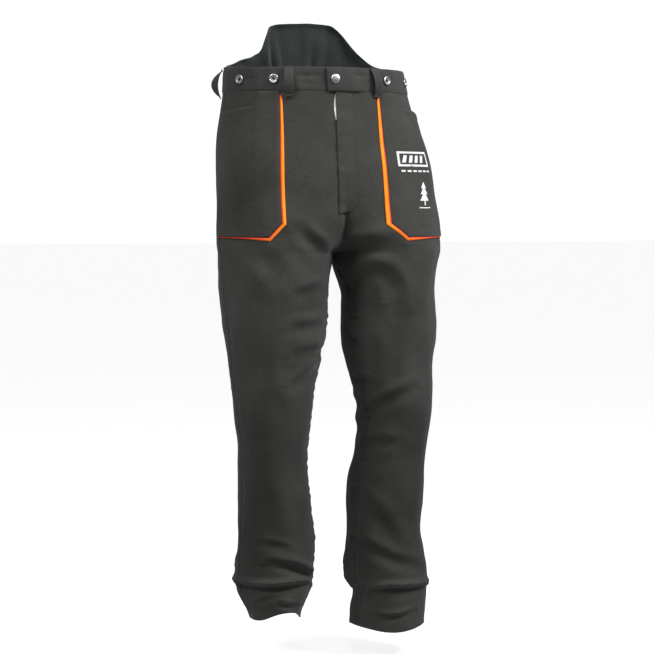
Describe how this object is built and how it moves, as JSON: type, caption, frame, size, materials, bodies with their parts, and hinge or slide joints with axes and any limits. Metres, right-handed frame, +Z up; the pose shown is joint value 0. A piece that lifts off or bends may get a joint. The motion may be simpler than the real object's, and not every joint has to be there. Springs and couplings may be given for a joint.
{
  "type": "chainsaw protective trousers",
  "caption": "Work trousers with sealed cut pads in the leg fronts, a high back panel, two patch pockets and metal brace buttons.",
  "frame": {"origin": "centre of the waist opening, level with the top edge of the waistband", "axes": "+Z up, the wearer faces -Y, the wearer's left is +X"},
  "size_m": [0.4345, 0.2674, 1.1423],
  "materials": {
    "shell_cloth": "matt charcoal twill",
    "band_cloth": "matt charcoal twill",
    "fleece": "soft brushed knit, near black",
    "cut_pad": "loose knitted chain-blocking fibre",
    "piping": "high-visibility orange folded tape",
    "zip_tape": "pale woven zip tape with a nylon coil",
    "metal": "nickel plate"
  },
  "bodies": {
    "trunk": {"back_pocket": "shell_cloth", "belt_loop_back": "band_cloth", "belt_loop_left_back": "band_cloth", "belt_loop_left_front": "band_cloth", "belt_loop_left_side": "band_cloth", "belt_loop_right_back": "band_cloth", "belt_loop_right_front": "band_cloth", "belt_loop_right_side": "band_cloth", "brace_button_left_back": "metal", "brace_button_left_front": "metal", "brace_button_left_side": "metal", "brace_button_right_back": "metal", "brace_button_right_front": "metal", "brace_button_right_side": "metal", "cut_pad_hip_left": "cut_pad", "cut_pad_hip_right": "cut_pad", "fly_facing": "shell_cloth", "fly_shield": "shell_cloth", "front_panel_left": "shell_cloth", "front_panel_right": "shell_cloth", "groin_fold_left": "shell_cloth", "groin_fold_right": "shell_cloth", "high_back": "fleece", "patch_pocket_left": "shell_cloth", "patch_pocket_right": "shell_cloth", "pocket_piping_left": "piping", "pocket_piping_right": "piping", "seat_fold_left": "shell_cloth", "seat_fold_right": "shell_cloth", "seat_panel_left": "shell_cloth", "seat_panel_right": "shell_cloth", "waistband_back": "band_cloth", "waistband_left": "band_cloth", "waistband_right": "band_cloth", "zip_tape_left": "zip_tape", "zip_tape_right": "zip_tape"},
    "thigh_right": {"thigh_front_right": "shell_cloth", "thigh_back_right": "shell_cloth", "cut_pad_thigh_right": "cut_pad", "knee_fold_right": "shell_cloth"},
    "shin_right": {"shin_front_right": "shell_cloth", "shin_back_right": "shell_cloth", "cut_pad_shin_right": "cut_pad"},
    "thigh_left": {"thigh_front_left": "shell_cloth", "thigh_back_left": "shell_cloth", "cut_pad_thigh_left": "cut_pad", "knee_fold_left": "shell_cloth"},
    "shin_left": {"shin_front_left": "shell_cloth", "shin_back_left": "shell_cloth", "cut_pad_shin_left": "cut_pad"},
    "zip_slider": {"zip_slider": "metal"},
    "zip_pull": {"zip_pull": "metal"},
    "waist_button": {"waist_button": "metal"},
    "back_pocket_flap": {"back_pocket_flap": "shell_cloth"}
  },
  "joints": [
    {"name": "hip_right", "type": "hinge", "parent": "trunk", "child": "thigh_right", "pos_m": [-0.078, -0.009, -0.345], "axis": [-1, 0, 0], "range_deg": [-15, 45], "deforming": ["groin_fold_right", "seat_fold_right"]},
    {"name": "knee_right", "type": "hinge", "parent": "thigh_right", "child": "shin_right", "pos_m": [-0.081, -0.009, -0.625], "axis": [1, 0, 0], "range_deg": [0, 90], "deforming": ["knee_fold_right"]},
    {"name": "hip_left", "type": "hinge", "parent": "trunk", "child": "thigh_left", "pos_m": [0.146, -0.009, -0.345], "axis": [-1, 0, 0], "range_deg": [-15, 45], "deforming": ["groin_fold_left", "seat_fold_left"]},
    {"name": "knee_left", "type": "hinge", "parent": "thigh_left", "child": "shin_left", "pos_m": [0.154, -0.009, -0.625], "axis": [1, 0, 0], "range_deg": [0, 90], "deforming": ["knee_fold_left"]},
    {"name": "zip_slide", "type": "slide", "parent": "trunk", "child": "zip_slider", "axis": [0.041, -0.0258, -0.9988], "range_m": [0, 0.128]},
    {"name": "zip_pull_swing", "type": "hinge", "parent": "zip_slider", "child": "zip_pull", "pos_m": [0.00177, -0.11182, -0.0559], "axis": [-0.9992, -0.0011, -0.041], "range_deg": [0, 10]},
    {"name": "waist_button_turn", "type": "hinge", "parent": "trunk", "child": "waist_button", "pos_m": [0.00151, -0.12266, -0.0215], "axis": [-0.005, -0.9976, 0.0685], "continuous": true},
    {"name": "back_pocket_flap_lift", "type": "hinge", "parent": "trunk", "child": "back_pocket_flap", "pos_m": [-0.11053, 0.09819, -0.08], "axis": [0.878, 0.4787, 0], "range_deg": [0, 120]}
  ]
}
